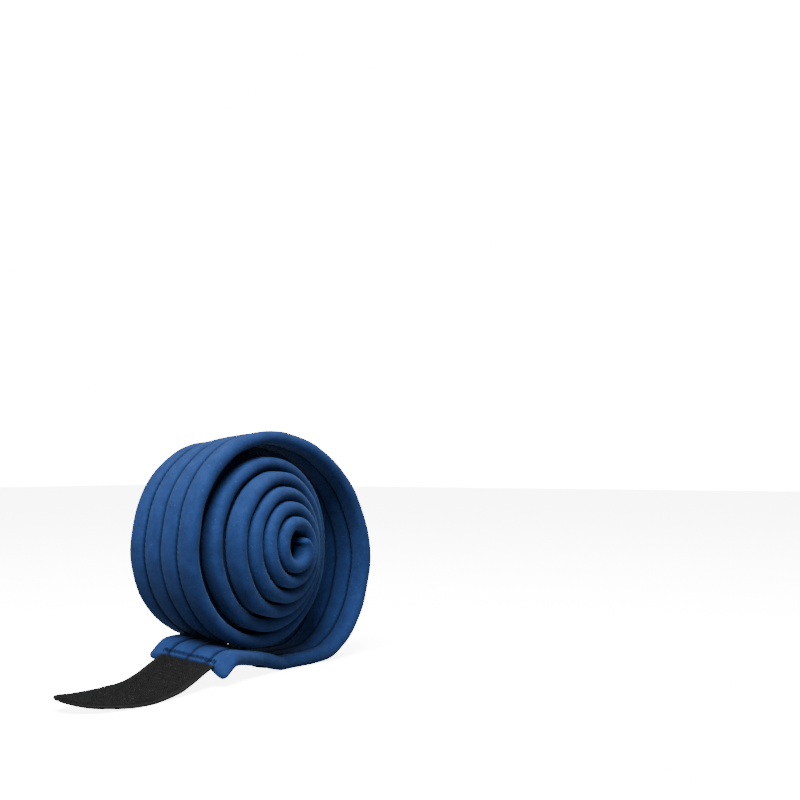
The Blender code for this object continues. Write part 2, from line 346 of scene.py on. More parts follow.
angles = np.linspace(TABLE_END_ANGLE, INNER_END_ANGLE, PATH_STEPS)
places, _, inwards = roll_frames(angles)
steps = np.linalg.norm(np.diff(places + inwards * STRAP_THICKNESS / 2, axis=0), axis=1)
ROLL_LENGTHS = FLAP_END + np.concatenate([[0], np.cumsum(steps)])
STRAP_LENGTH = float(ROLL_LENGTHS[-1])


def strap_frames(s):
    """The frames at lengths s from the strap's outer end."""
    tail = tail_frames(np.clip(FLAP_END - s, 0, None))
    roll = roll_frames(np.interp(s, ROLL_LENGTHS, angles))
    on_tail = (s < FLAP_END)[:, None]
    return [np.where(on_tail, a, b) for a, b in zip(tail, roll)]


def length_at(angle):
    """The length along the strap at one winding angle."""
    return float(np.interp(angle, angles, ROLL_LENGTHS))


print("strap length", round(STRAP_LENGTH, 3), "m")

# %% [markdown]
# ## The strap's section
# The strap is a strip of foam in a folded cover. Two rows of stitches and the seam where the cover's edges
# meet divide it into four puffed channels. In the section each line pulls the face in, and the face rises
# again on both sides of it. The edges are round folds.
# The section could be a curve with a bevel object, but then the puff and the grooves couldn't change along
# the strap. So the section is a formula, worked out for all rings at once with numpy.

# %% The strap's section
QUARTER = STRAP_WIDTH / 4
EDGE_ROUND = 0.0036
SEWN_LINES = (-QUARTER, 0, QUARTER)
PUFF = 0.00042
PUFF_REACH = 0.0032
STITCH_GROOVE = (0.0012, 0.0010)
SEAM_GROOVE = (0.0010, 0.0013)
CREASE = (0.00045, 0.0014)
PULL_SHARE = 0.18
PULL_RIDGE, RIDGE_AWAY, RIDGE_REACH = 0.00007, 0.0022, 0.0014
LINE_STEPS = [0, 0.00055, 0.0011, 0.0019, 0.0035]
CROWN_STEP = 0.0092
EDGE_STEPS = 7


def face_across():
    """Places across one face, from the far edge to the near one, close together at each groove."""
    flat = STRAP_WIDTH / 2 - EDGE_ROUND
    found = {-flat, flat, 0.0}
    for line in SEWN_LINES:
        found |= {round(line + side * step, 6) for step in LINE_STEPS for side in (-1, 1)}
        found.add(round(line + QUARTER / 2, 6))
        found.add(round(line - QUARTER / 2, 6))
    found |= {side * (QUARTER + CROWN_STEP) for side in (-1, 1)}
    return np.array(sorted(found, reverse=True))


def groove(distance, shape):
    """A dent with this depth and reach, at a distance from its line."""
    depth, reach = shape
    return depth * np.exp(-((distance / reach) ** 2))


def wander(s, wave, start):
    """A slow wave with no visible period, from about -1 to 1."""
    x = 2 * math.pi * s / wave
    waves = 0.5 * np.sin(x + start) + 0.3 * np.sin(1.71 * x + 2.3 * start)
    return waves + 0.2 * np.sin(2.93 * x + 3.1 * start)


def face_depth(across, s, outer):
    """How far the face lies inside the plain strap, at each ring and place across."""
    a, length = across[None, :], s[:, None]
    puff = PUFF * (1 + 0.35 * wander(length + 0.7 * a, 0.041, 1.0 if outer else 2.0))
    nearest = np.min([np.abs(a - line) for line in SEWN_LINES], axis=0)
    depth = -puff * (1 - np.exp(-((nearest / PUFF_REACH) ** 2)))
    pulled = np.cos(2 * math.pi * length / STITCH_PITCH)
    for line in (-QUARTER, QUARTER):
        distance = np.abs(a - line)
        depth = depth + groove(distance, STITCH_GROOVE) * (1 + PULL_SHARE * pulled)
        depth = depth + PULL_RIDGE * pulled * np.exp(-((distance - RIDGE_AWAY) / RIDGE_REACH) ** 2)
    return depth + groove(np.abs(a), SEAM_GROOVE if outer else CREASE)


print("a face has", len(face_across()), "points across")

# %% [markdown]
# ## The two ends of the strap
# At its outer end the cover is folded in and sewn flat over the hook tape, so the padding thins out. The
# tape holds the middle of the end stiff. The corners on both sides of it are only soft cover, and droop,
# most of all the near one. The inner end is thinned and rounded in the same way.
# Where turns touch, soft padding fills the gap between them. So the far side swells a little at three
# places: twice where the roll rests on the free end, and once at the top, inside the loose turn.

# %% The two ends of the strap
END_THIN = 0.014
END_SHARE = 0.52
END_ROUND = 0.0016
CORNER_ROUND = 0.0035
TAPE_WIDTH = 0.038
TAPE_LEVEL = 0.0032
NEAR_DROOP = 0.0052
FAR_DROOP = 0.0030
DROOP_REACH = 0.017
DROOP_INSIDE = 0.003
DROOP_EDGE = 0.0115
SWELL_SPREAD = 0.024
SWELLS = [
    (FLAP_END - 0.028, 0.022, 0.0034),
    (FLAP_END + 0.001, 0.016, 0.0044),
    (length_at(160), 0.030, 0.0040),
]
SAG, SAG_WAVE = 0.00035, 0.12
SWAY, SWAY_WAVE = 0.0006, 0.083


def end_shape(s):
    """For each ring: the share of the thickness left, the middle depth it shrinks to, and the width lost."""
    from_end = np.minimum(s, STRAP_LENGTH - s)
    share = END_SHARE + (1 - END_SHARE) * ease(from_end / END_THIN)
    rounded = np.clip(1 - from_end / END_ROUND, 0, 1)
    share = share * np.sqrt(1 - 0.97 * rounded**2)
    middle = np.where(s < STRAP_LENGTH / 2, TAPE_LEVEL, STRAP_THICKNESS / 2)
    middle = middle + (STRAP_THICKNESS / 2 - middle) * ease(from_end / END_THIN)
    corner = np.clip(1 - from_end / CORNER_ROUND, 0, 1)
    return share, middle, CORNER_ROUND * (1 - np.sqrt(1 - corner**2))


def droop(across, s):
    """How far the face lies below its plain level: the outer end's corners hang, and the far side swells."""
    near_end = 1 - ease(s[:, None] / DROOP_REACH)
    beyond = ease((np.abs(across) - TAPE_WIDTH / 2 + DROOP_INSIDE) / DROOP_EDGE)
    hang = near_end * beyond * np.where(across < 0, NEAR_DROOP, FAR_DROOP)
    swell = sum(h * np.exp(-(((s[:, None] - place) / reach) ** 2)) for place, reach, h in SWELLS)
    return hang - swell * ease(across / SWELL_SPREAD)


def on_strap(across, depth, s):
    """Puts rows of places across, at depths in the plain strap, on the path at the lengths s."""
    share, middle, lost = (part[:, None] for part in end_shape(s))
    depth = middle + (depth - STRAP_THICKNESS / 2) * share - droop(across, s)
    sag = SAG * wander(s[:, None] + 0.3 * across, SAG_WAVE, 4.0)
    depth = depth + sag * np.clip(s / 0.05, 0, 1)[:, None]
    across = across * (1 - lost / (STRAP_WIDTH / 2)) + SWAY * wander(s, SWAY_WAVE, 0.5)[:, None]
    place, side_way, inward = (part[:, None, :] for part in strap_frames(s))
    return place + side_way * across[:, :, None] + inward * depth[:, :, None]


print("the outer end is", round(1000 * END_SHARE * STRAP_THICKNESS, 1), "mm thick")

# %% [markdown]
# ## Sweeping the section along the path
# Each ring of points is the section, placed on its frame. The points run over the outer face from the far
# edge to the near one, and back over the inner face. The round edges are quarter turns of an ellipse.

# %% The strap's points
def edge_turn():
    """Angles from the flat of a face to the middle of the edge, without the first."""
    return (np.arange(EDGE_STEPS) + 1) * math.pi / 2 / EDGE_STEPS


def ring_outline(s):
    """The section before it is bent to the path: places across, and the depth at each, for each length."""
    flat = face_across()
    half = STRAP_WIDTH / 2 - EDGE_ROUND
    centre = STRAP_THICKNESS / 2
    turn = edge_turn()
    far, near = half + EDGE_ROUND * np.sin(turn[::-1]), -half - EDGE_ROUND * np.sin(turn)
    over = np.concatenate([far, flat, near])
    depths = []
    for level in (face_depth(flat, s, True), STRAP_THICKNESS - face_depth(flat, s, False)):
        first, last = level[:, :1] - centre, level[:, -1:] - centre
        edges = centre + first * np.cos(turn[::-1]), centre + last * np.cos(turn)
        depths.append(np.hstack([edges[0], level, edges[1]]))
    return np.concatenate([over, over[::-1][1:-1]]), np.hstack([depths[0], depths[1][:, ::-1][:, 1:-1]])


def strap_points(s):
    """The rings of points for lengths s, as an array of rings, points and coordinates."""
    across, depth = ring_outline(s)
    return on_strap(np.broadcast_to(across, depth.shape), depth, s)


print("a ring has", strap_points(np.array([0.5])).shape[1], "points")

# %% [markdown]
# ## From rings of points to a closed mesh
# Neighbouring rings are joined by four-sided faces. Each piece of strap is closed with a ladder of faces at
# both ends, so that every piece is a solid. Where two pieces of strap meet, the rim of the cut is marked
# sharp: the cover's shading then takes no notice of the flat end behind it, and the cut can't be seen.

# %% From rings of points to a mesh
def add_object(name, mesh):
    """A new object that shows this mesh."""
    thing = bpy.data.objects.new(name, mesh)
    bpy.context.scene.collection.objects.link(thing)
    return thing


def grid_faces(rings, points):
    """The four-sided faces between neighbouring rings."""
    i, j = np.meshgrid(np.arange(rings - 1), np.arange(points), indexing="ij")
    k = (j + 1) % points
    corners = [i * points + j, i * points + k, (i + 1) * points + k, (i + 1) * points + j]
    return np.stack(corners, -1).reshape(-1, 4)


def ring_faces(rings, points):
    """Faces between rings, and a ladder of faces that closes the first and the last ring."""
    faces = grid_faces(rings, points).tolist()
    for base, turned in ((0, -1), ((rings - 1) * points, 1)):
        for j in range(points // 2):
            places = (j, j + 1, (points - j - 1) % points, (points - j) % points)
            corners = list(dict.fromkeys(base + place for place in places))
            faces.append(corners[::turned])
    return faces


def make_mesh(name, rows, coordinates):
    """A closed tube through rows of points, with its coordinates in metres kept as a UV map."""
    rings, points = rows.shape[:2]
    mesh = bpy.data.meshes.new(name)
    mesh.from_pydata(rows.reshape(-1, 3).tolist(), [], ring_faces(rings, points))
    mesh.shade_smooth()
    rim = set()
    for base in (0, (rings - 1) * points):
        rim |= {frozenset((base + j, base + (j + 1) % points)) for j in range(points)}
    sharp = mesh.attributes.new("sharp_edge", "BOOLEAN", "EDGE")
    sharp.data.foreach_set("value", [frozenset(edge.vertices) in rim for edge in mesh.edges])
    uv = mesh.uv_layers.new(name="metres")
    index = np.empty(len(mesh.loops), int)
    mesh.loops.foreach_get("vertex_index", index)
    uv.data.foreach_set("uv", coordinates.reshape(-1, 2)[index].astype(np.float32).ravel())
    mesh.validate()
    return add_object(name, mesh)


print("joining two rings of 96 points takes", len(ring_faces(2, 96)), "faces")

# %% [markdown]
# ## Cloth that crosses the joints
# The strap unrolls at four hinge lines. Cut into stiff links it would show a corner at each. So every piece
# of strap runs from the middle of one link to the middle of the next, across a hinge line.
# The cuts are in the middles, where nothing bends. The flap at the outer end, which lifts, is cut the same
# way.

# %% Where the strap is cut
# Winding angles of the four hinge lines of the unrolling turn, in degrees
HINGE_ANGLES = [39.51, 64.93, 99.68, 145.16]
ROLL_CUT_ANGLE = 168.0
BASE_CUT = 0.044
BEND_MARGIN = 0.004
END_RING_SHARES = (0.12, 0.3, 0.55)


def snapped(s):
    """The nearest ring, so that neighbouring pieces share it."""
    return round(s / RING) * RING


hinge_lengths = [length_at(angle) for angle in HINGE_ANGLES]
link_middles = [snapped((a + b) / 2) for a, b in zip(hinge_lengths, hinge_lengths[1:])]
base_cut, roll_cut = snapped(FLAP_END - BASE_CUT), snapped(length_at(ROLL_CUT_ANGLE))
cuts = [0, base_cut, *link_middles, roll_cut, STRAP_LENGTH]
print("strap cut at", [round(cut, 3) for cut in cuts], "m")


def middle_of(s):
    """A point in the middle of the strap, at one length from its outer end."""
    place, _, inward = (part[0] for part in strap_frames(np.array([s])))
    return tuple(place + inward * STRAP_THICKNESS / 2)


def ring_lengths(start, end):
    """Ring positions from start to end, with extra ones where the end of the strap is round."""
    count = round((end - start) / RING)
    found = set(np.round(np.linspace(start, end, count + 1), 7))
    for share in END_RING_SHARES:
        if start == 0:
            found.add(round(END_ROUND * share, 7))
        if end == STRAP_LENGTH:
            found.add(round(STRAP_LENGTH - END_ROUND * share, 7))
    return np.array(sorted(found))


# %% [markdown]
# ## Pieces of strap
# Six pieces of strap take the place of the plain covers and foams. Each is listed with the bodies it lies
# between; the last one rides on the roll. The grooves at the sewn lines hold shade and packed-down pile,
# too fine for the mesh to show. So each point also stores how close it is to such a line, and the finish
# uses that to paint shade into the colour there.

# %% Pieces of strap
SHADE_REACH = 0.0011
INNER_TURNS = 5
PIECES = [
    ("flap_pad", "flap", "tail_base", ["flap"]),
    ("base_pad", "tail_base", "outer_turn_1", ["base"]),
    ("outer_pad_1", "outer_turn_1", "outer_turn_2", ["outer_turn_1"]),
    ("outer_pad_2", "outer_turn_2", "outer_turn_3", ["outer_turn_2"]),
    ("outer_pad_3", "outer_turn_3", "roll", ["outer_turn_3"]),
    ("roll_pad", "roll", None, ["outer_turn_4", *(f"inner_turn_{turn + 1}" for turn in range(INNER_TURNS))]),
]
BEND_AT = {
    "flap_pad": (FLAP_END - 0.072, FLAP_END - 0.048),
    "base_pad": (length_at(26), cuts[2] - BEND_MARGIN),
}


def attach(piece, name, body, other, start, end):
    """The piece rides on its body if it has no other one; otherwise its transform is baked into its mesh."""
    if other is None:
        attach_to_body(piece, body)
    else:
        first, last = BEND_AT.get(name, (start + BEND_MARGIN, end - BEND_MARGIN))
        middle_of(first)
        middle_of(last)
        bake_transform(piece)


def painted_groove_shade():
    """For each point of a ring, from 0 to 1: how close it is to a sewn line, so how much painted shade it
    gets.
    """
    across, _ = ring_outline(np.zeros(1))
    flat = np.abs(across) < STRAP_WIDTH / 2 - EDGE_ROUND + 1e-6
    nearest = np.min([np.abs(across - line) for line in SEWN_LINES], axis=0)
    return np.where(flat, np.exp(-((nearest / SHADE_REACH) ** 2)), 0)


def metres_round(width, rows, lengths):
    """Coordinates round and along a piece, in metres: twice its width round each ring, and the length."""
    around = np.linspace(0, 2 * width, rows.shape[1], endpoint=False)
    return np.stack(np.broadcast_arrays(around[None, :], lengths[:, None]), -1)


strap_pieces = []
for (name, body, other, modelled_as), start, end in zip(PIECES, cuts, cuts[1:]):
    lengths = ring_lengths(start, end)
    rows = strap_points(lengths)
    piece = make_mesh(name, rows, metres_round(STRAP_WIDTH, rows, lengths))
    # Painted groove shade: how strongly the finish darkens the colour close to each sewn line.
    groove_shade = piece.data.attributes.new("painted groove shade", "FLOAT", "POINT")
    groove_shade.data.foreach_set("value", np.tile(painted_groove_shade(), len(rows)))
    attach(piece, name, body, other, start, end)
    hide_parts(*(f"{part}_{layer}" for part in modelled_as for layer in ("cover", "foam")))
    strap_pieces.append(piece)
    print(name, len(rows), "rings from", round(start, 3), "to", round(end, 3), "m")

# %% [markdown]
# ## Stitches
# The two long rows are lockstitch: a dash of thread on the face, then a needle hole, then the next dash.
# A dashed line in the material would look painted on. Each stitch here is a short tube that lies in the
# groove and dips into the foam at both ends. There are nearly two thousand, so their points are worked out
# together, and the stitches of one piece of strap are one mesh.

# %% Tubes of thread
THREAD_RADIUS = 0.00036
THREAD_SIDES = 6
STITCH_SHARE = 0.8
STITCH_DIP = 0.0007
DASH_STEPS = 4
END_BARE = 0.008


def tubes(name, paths, radius, sides, ups):
    """One mesh of closed tubes, one along each row of points in paths."""
    count, steps = paths.shape[:2]
    way = np.gradient(paths, axis=1)
    way /= np.linalg.norm(way, axis=2, keepdims=True)
    side = np.cross(way, ups)
    side /= np.linalg.norm(side, axis=2, keepdims=True)
    up = np.cross(side, way)
    turn = 2 * math.pi * np.arange(sides) / sides
    ring = side[:, :, None] * np.cos(turn)[:, None] + up[:, :, None] * np.sin(turn)[:, None]
    points = paths[:, :, None] + ring * radius
    quads = grid_faces(steps, sides)
    first, last = np.arange(sides)[::-1], (steps - 1) * sides + np.arange(sides)
    faces = []
    for base in range(0, count * steps * sides, steps * sides):
        faces += (quads + base).tolist()
        faces += [(first + base).tolist(), (last + base).tolist()]
    mesh = bpy.data.meshes.new(name)
    mesh.from_pydata(points.reshape(-1, 3).tolist(), [], faces)
    mesh.shade_smooth()
    return add_object(name, mesh)


def surface(across, s, outer):
    """Points on the strap's faces, for arrays of places across and lengths of the same shape."""
    flat_s, flat_a = s.ravel(), across.ravel()
    depth = np.array([face_depth(a, np.array([b]), outer)[0, 0] for a, b in zip(flat_a[:, None], flat_s)])
    depth = depth if outer else STRAP_THICKNESS - depth
    points = on_strap(flat_a[:, None], depth[:, None], flat_s)
    normal = strap_frames(flat_s)[2] * (-1 if outer else 1)
    return points.reshape(*s.shape, 3), normal.reshape(*s.shape, 3)


def sewn(name, across, s, dip, proud):
    """Threads along these places on both faces. Their ends dip in, and their middles stand proud."""
    paths, ups = [], []
    for outer in (True, False):
        points, normal = surface(across, s, outer)
        paths.append(points - normal * (dip[None, :, None] - proud * THREAD_RADIUS))
        ups.append(normal)
    return tubes(name, np.concatenate(paths), THREAD_RADIUS, THREAD_SIDES, np.concatenate(ups))


def stitch_row(name, start, end, side):
    """The stitches of one long row on both faces of one piece of strap."""
    first, last = math.ceil(start / STITCH_PITCH + 0.3), math.floor(end / STITCH_PITCH - 0.3)
    middles = (np.arange(first, last) + 0.5) * STITCH_PITCH
    s = middles[:, None] + np.linspace(-0.5, 0.5, DASH_STEPS + 1) * STITCH_PITCH * STITCH_SHARE
    dip = STITCH_DIP * (np.abs(np.linspace(-1, 1, DASH_STEPS + 1)) ** 3)
    return sewn(name, np.full(s.shape, side * QUARTER), s, dip, 0.4)


thread_pieces = []
for (name, body, other, modelled_as), start, end in zip(PIECES, cuts, cuts[1:]):
    first = END_BARE if start == 0 else start
    last = end - END_BARE if other is None else end
    for side, word in ((-1, "near"), (1, "far")):
        row = stitch_row(f"{name}_{word}_stitches", first, last, side)
        attach(row, name, body, other, start, end)
        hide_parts(*(f"{part}_{word}_stitch_row" for part in modelled_as))
        thread_pieces.append(row)
print("stitched", len(thread_pieces), "rows")

# %% [markdown]
# ## End seams
# Both ends are closed by a row of short stitches at right angles to the end, close together, like a satin
# stitch. At the outer end they also hold the hook tape. Thread tension leaves each one a little different,
# so their lengths vary, by a formula that gives the same values each time.

# %% End seams
SEAM_PITCH = 0.00125
SEAM_REACH = (0.0014, 0.0056)
SEAM_UNEVEN = 0.0004
SEAM_SLANT = 0.0005
SEAM_DIP = 0.0006
INNER_SEAM_WIDTH = 0.046


def end_seam(name, width, ends):
    """Close stitches across one end of the strap, on both faces."""
    count = int(width / SEAM_PITCH)
    places = (np.arange(count + 1) - count / 2) * SEAM_PITCH
    uneven = SEAM_UNEVEN * np.sin(np.arange(count + 1) * 2.4)
    share = np.linspace(0, 1, DASH_STEPS + 1)
    s = ends[0] + uneven[:, None] + (ends[1] - ends[0]) * share[None, :]
    across = places[:, None] + SEAM_SLANT * (share[None, :] - 0.5)
    return sewn(name, across, s, SEAM_DIP * np.abs(2 * share - 1) ** 3, 0.5)


outer_seam = end_seam("flap_end_seam", TAPE_WIDTH, SEAM_REACH)
attach(outer_seam, "flap_pad", "flap", "tail_base", 0, cuts[1])
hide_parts("outer_end_seam")
inner_reach = [STRAP_LENGTH - reach for reach in SEAM_REACH]
inner_seam = end_seam("roll_end_seam", INNER_SEAM_WIDTH, inner_reach)
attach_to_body(inner_seam, "roll")
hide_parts("inner_end_seam")
for seam in (outer_seam, inner_seam):
    thread_pieces.append(seam)
print("an end seam has", int(TAPE_WIDTH / SEAM_PITCH) + 1, "stitches on each face")

# %% [markdown]
# ## Hook tape
# The tab is a strip of woven tape with a field of plastic hooks on its upper face. The weave is fine and
# goes into the material, but the tape's thickness, its firm edges and its rounded end are mesh. It is cut
# once, where it bends in use, like the strap.

# %% Hook tape's backing
TAPE_THICKNESS = 0.0011
TAPE_LIFT = 0.0026
FAR_CORNER = (0.007, 0.007)
NEAR_CORNER = (0.046, 0.029)
CORNER_RINGS = 12
TAPE_CUT = 0.113
TAPE_STEP = 0.001
FIRM_RISE, FIRM_REACH = 0.00016, 0.0012
RIPPLE, RIPPLE_WAVE = 0.00025, 0.037
TAPES = [
    ("tape_root", "flap", "tab_root", TAPE_START, TAPE_CUT, (0.084, 0.099)),
    ("tape_tip", "tab_root", "tab_tip", TAPE_CUT, TAPE_END, (0.122, 0.154)),
]


def tape_sides(length):
    """How far the near and far edges are from the tape's middle. The end is rounded, the near side most."""
    sides = []
    for reach, depth in (NEAR_CORNER, FAR_CORNER):
        gone = np.clip(1 - (TAPE_END - length) / reach, 0, 1)
        sides.append(TAPE_WIDTH / 2 - depth * (1 - np.sqrt(1 - gone**2)))
    return sides


def tape_points(lengths):
    """Rings of points round the tape's section, which is thicker along its firm edges."""
    half = np.linspace(1, -1, 25)
    turn = np.linspace(0, math.pi, 7)[1:-1]
    near, far = (side[:, None] for side in tape_sides(lengths))
    middle, width = (far - near) / 2, (far + near) / 2
    rise = FIRM_RISE * np.exp(-(((1 - np.abs(half)) * TAPE_WIDTH / 2 / FIRM_REACH) ** 2))[None, :]
    body = TAPE_THICKNESS / 2 + rise
    ripple = RIPPLE * wander(lengths, RIPPLE_WAVE, 2.0)[:, None] * half[None, :]
    rim = body[0, 0]
    round_edge, upright = rim * np.sin(turn), rim * np.cos(turn)
    across = [width * half, -width - round_edge, width * half[::-1], width + round_edge]
    depth = [-body + ripple, ripple[:, -1:] - upright, body + ripple[:, ::-1], ripple[:, :1] + upright]
    across, depth = middle + np.hstack(across), TAPE_LIFT + TAPE_THICKNESS / 2 + np.hstack(depth)
    place, side_way, inward = (part[:, None, :] for part in tail_frames(lengths))
    return place + side_way * across[:, :, None] + inward * depth[:, :, None]


def tape_lengths(start, end):
    """Ring positions, closer together round the corners of the end."""
    if end < TAPE_END:
        return np.linspace(start, end, round((end - start) / TAPE_STEP) + 1)
    corner = TAPE_END - FAR_CORNER[0]
    straight = np.linspace(start, corner, round((corner - start) / TAPE_STEP) + 1)
    turn = np.linspace(0, math.pi / 2, CORNER_RINGS + 1)[1:]
    return np.concatenate([straight, corner + FAR_CORNER[0] * np.sin(turn)])


def tape_middle(length):
    """A point in the middle of the tape, at one length along the free end."""
    place, _, inward = (part[0] for part in tail_frames(np.array([length])))
    return tuple(place + inward * (TAPE_LIFT + TAPE_THICKNESS / 2))


tape_pieces = []
for name, body, other, start, end, bend in TAPES:
    lengths = tape_lengths(start, end)
    rows = tape_points(lengths)
    piece = make_mesh(name, rows, metres_round(TAPE_WIDTH, rows, lengths))
    tape_middle(bend[0])
    tape_middle(bend[1])
    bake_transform(piece)
    tape_pieces.append(piece)
    print(name, len(rows), "rings, from", start, "to", end, "m along the free end")
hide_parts("hook_tape_sewn_end", "hook_tape_root_backing")
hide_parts("hook_tape_tip_backing")

# %% [markdown]
# ## Hooks
# Each hook is a stiff thread that rises from the tape and curls over. They stand in rows, and each row
# leans the other way, as the loom leaves them. A particle system could scatter them, but hooks are woven
# in a grid, so the grid is worked out directly and all hooks of a length of tape are one mesh.

# %% Hooks
HOOK_RADIUS = 0.00015
HOOK_SIDES = 4
HOOK_HEIGHT = 0.0013
HOOK_LEAN = 0.00055
HOOK_GRID = (0.00135, 0.00145)
HOOK_MARGIN = 0.0022
HOOK_END_MARGIN = 0.0008
HOOK_JITTER = 0.00018
HOOK_RISE = np.array([-0.08, 0.4, 0.8, 1.0, 0.88, 0.64])
HOOK_CURL = np.array([0, -0.1, 0.1, 0.5, 0.9, 1.0])
HOOKS_UNDER_SEAM = 0.003


def hook_field(name, start, end):
    """All hooks from start to end along the free end."""
    rng = np.random.default_rng(7)
    rows = np.arange(start + HOOK_GRID[1] / 2, end - HOOK_END_MARGIN, HOOK_GRID[1])
    bases = []
    for number, length in enumerate(rows):
        near, far = (side - HOOK_MARGIN for side in tape_sides(length))
        count = int(TAPE_WIDTH / HOOK_GRID[0])
        across = (np.arange(count + 1) - count / 2) * HOOK_GRID[0] + (number % 2) * HOOK_GRID[0] / 2
        bases += [(length, a, 1 if number % 2 else -1) for a in across if -near < a < far]
    bases = np.array(bases)
    jitter = rng.uniform(-1, 1, (len(bases), 3))
    length = bases[:, 0] + HOOK_JITTER * jitter[:, 0]
    across = bases[:, 1] + HOOK_JITTER * jitter[:, 1]
    place, side_way, inward = tail_frames(length)
    way = np.cross(inward, side_way)
    foot = place + side_way * across[:, None] + inward * (TAPE_LIFT + TAPE_THICKNESS)
    tall = HOOK_HEIGHT * (1 + 0.12 * jitter[:, 2:])
    lean = way * bases[:, 2:3] + side_way * 0.35 * jitter[:, :1]
    paths = foot[:, None] + inward[:, None] * (HOOK_RISE * tall)[:, :, None]
    paths = paths + lean[:, None] * (HOOK_LEAN * HOOK_CURL)[None, :, None]
    print(name, len(paths), "hooks")
    ups = np.broadcast_to(side_way[:, None], paths.shape)
    return tubes(name, paths, HOOK_RADIUS, HOOK_SIDES, ups)


hook_pieces = []
for (name, body, other, start, end, bend), node in zip(TAPES, ("root", "tip")):
    field = hook_field(f"{name}_hooks", max(start, FLAP_END - HOOKS_UNDER_SEAM), end)
    tape_middle(bend[0])
    tape_middle(bend[1])
    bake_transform(field)
    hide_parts(f"hook_tape_{node}_hooks")
    hook_pieces.append(field)
for tape, field, (_, _, _, start, end, _) in zip(tape_pieces, hook_pieces, TAPES):
    lengths = np.linspace(start, end, 400)

# %% [markdown]
# ## Finishes
# Two small helpers keep the node setups short: one makes a node and sets it, the other starts a node group
# with named sockets. The colour changes that several finishes share are made once, as groups.

# %% Helpers for nodes
def put(tree, kind, inputs=None, **settings):
    """A node of this kind, with values or links for its inputs."""
    node = tree.nodes.new(kind)
    for name, value in settings.items():
        setattr(node, name, value)
    for name, value in (inputs or {}).items():
        if isinstance(value, bpy.types.NodeSocket):
            tree.links.new(value, node.inputs[name])
        else:
            node.inputs[name].default_value = value
    return node


def start_group(name, inputs, outputs):
    """An empty node group with these sockets, given as (name, kind, value)."""
    tree = bpy.data.node_groups.new(name, "ShaderNodeTree")
    for label, kind, value in inputs:
        socket = tree.interface.new_socket(label, in_out="INPUT", socket_type=kind)
        if value is not None:
            socket.default_value = value
    for label, kind in outputs:
        tree.interface.new_socket(label, in_out="OUTPUT", socket_type=kind)
    return tree, tree.nodes.new("NodeGroupInput"), tree.nodes.new("NodeGroupOutput")


def noise(tree, place, scale, detail, roughness=0.5):
    """The grey value of a noise."""
    inputs = {"Vector": place, "Scale": scale, "Detail": detail, "Roughness": roughness}
    return put(tree, "ShaderNodeTexNoise", inputs).outputs["Fac"]


def calculate(tree, operation, *values):
    """The result of one sum."""
    return put(tree, "ShaderNodeMath", dict(enumerate(values)), operation=operation).outputs[0]


def remap(tree, value, old, new):
    """The value, spread from one range to another."""
    ends = {"From Min": old[0], "From Max": old[1], "To Min": new[0], "To Max": new[1]}
    return put(tree, "ShaderNodeMapRange", {"Value": value, **ends}).outputs["Result"]


def mix_colours(tree, share, first, second):
    """Goes from the first colour to the second as share goes from 0 to 1."""
    inputs = {0: share, 6: first, 7: second}
    return put(tree, "ShaderNodeMix", inputs, data_type="RGBA").outputs[2]


FLOAT, COLOUR, VECTOR = "NodeSocketFloat", "NodeSocketColor", "NodeSocketVector"
print("helpers for nodes are ready")

# %% [markdown]
# ## Brushed nap
# The cover is a knit whose face was brushed into a short pile. Up close it isn't one blue. Where the pile
# lies over it looks lighter, and that happens in soft patches a few millimetres across. Inside a patch,
# single tufts vary as well. Two sizes of noise give both, and the finer one also raises the surface.

# %% Group: brushed nap
def build_nap():
    tree, into, out = start_group(
        "brushed nap",
        [
            ("Vector", VECTOR, None),
            ("Deep", COLOUR, (0, 0, 0, 1)),
            ("Lit", COLOUR, (1, 1, 1, 1)),
            ("Patch Scale", FLOAT, 90.0),
            ("Tuft Scale", FLOAT, 900.0),
        ],
        [("Color", COLOUR), ("Roughness", FLOAT), ("Height", FLOAT)],
    )
    place = into.outputs["Vector"]
    patches = noise(tree, place, into.outputs["Patch Scale"], 3.0, 0.6)
    tufts = noise(tree, place, into.outputs["Tuft Scale"], 2.0, 0.7)
    joined = calculate(tree, "MULTIPLY_ADD", tufts, 0.45, calculate(tree, "MULTIPLY", patches, 0.55))
    spread = remap(tree, joined, (0.36, 0.64), (0.0, 1.0))
    colour = mix_colours(tree, spread, into.outputs["Deep"], into.outputs["Lit"])
    tree.links.new(colour, out.inputs["Color"])
    tree.links.new(remap(tree, patches, (0.3, 0.7), (0.82, 0.97)), out.inputs["Roughness"])
    tree.links.new(tufts, out.inputs["Height"])
    return tree


nap = build_nap()
print(nap.name, len(nap.nodes), "nodes")

# %% [markdown]
# ## Lint
# Dark brushed cloth and hook tape both pick up pale specks of lint. A few small spots of Voronoi noise,
# kept only where a second noise allows it, give a thin uneven scatter.

# %% Group: lint
def build_lint():
    tree, into, out = start_group(
        "lint",
        [
            ("Vector", VECTOR, None),
            ("Color", COLOUR, (0, 0, 0, 1)),
            ("Lint Color", COLOUR, (0.4, 0.45, 0.5, 1)),
            ("Speck Scale", FLOAT, 500.0),
            ("Speck Size", FLOAT, 0.2),
        ],
        [("Color", COLOUR), ("Mask", FLOAT)],
    )
    place = into.outputs["Vector"]
    cells = put(tree, "ShaderNodeTexVoronoi", {"Vector": place, "Scale": into.outputs["Speck Scale"]})
    speck = calculate(tree, "LESS_THAN", cells.outputs["Distance"], into.outputs["Speck Size"])
    allowed = calculate(tree, "GREATER_THAN", noise(tree, place, 140.0, 1.0), 0.56)
    mask = calculate(tree, "MULTIPLY", speck, allowed)
    colour = mix_colours(tree, mask, into.outputs["Color"], into.outputs["Lint Color"])
    tree.links.new(colour, out.inputs["Color"])
    tree.links.new(mask, out.inputs["Mask"])
    return tree


lint = build_lint()
print(lint.name, len(lint.nodes), "nodes")

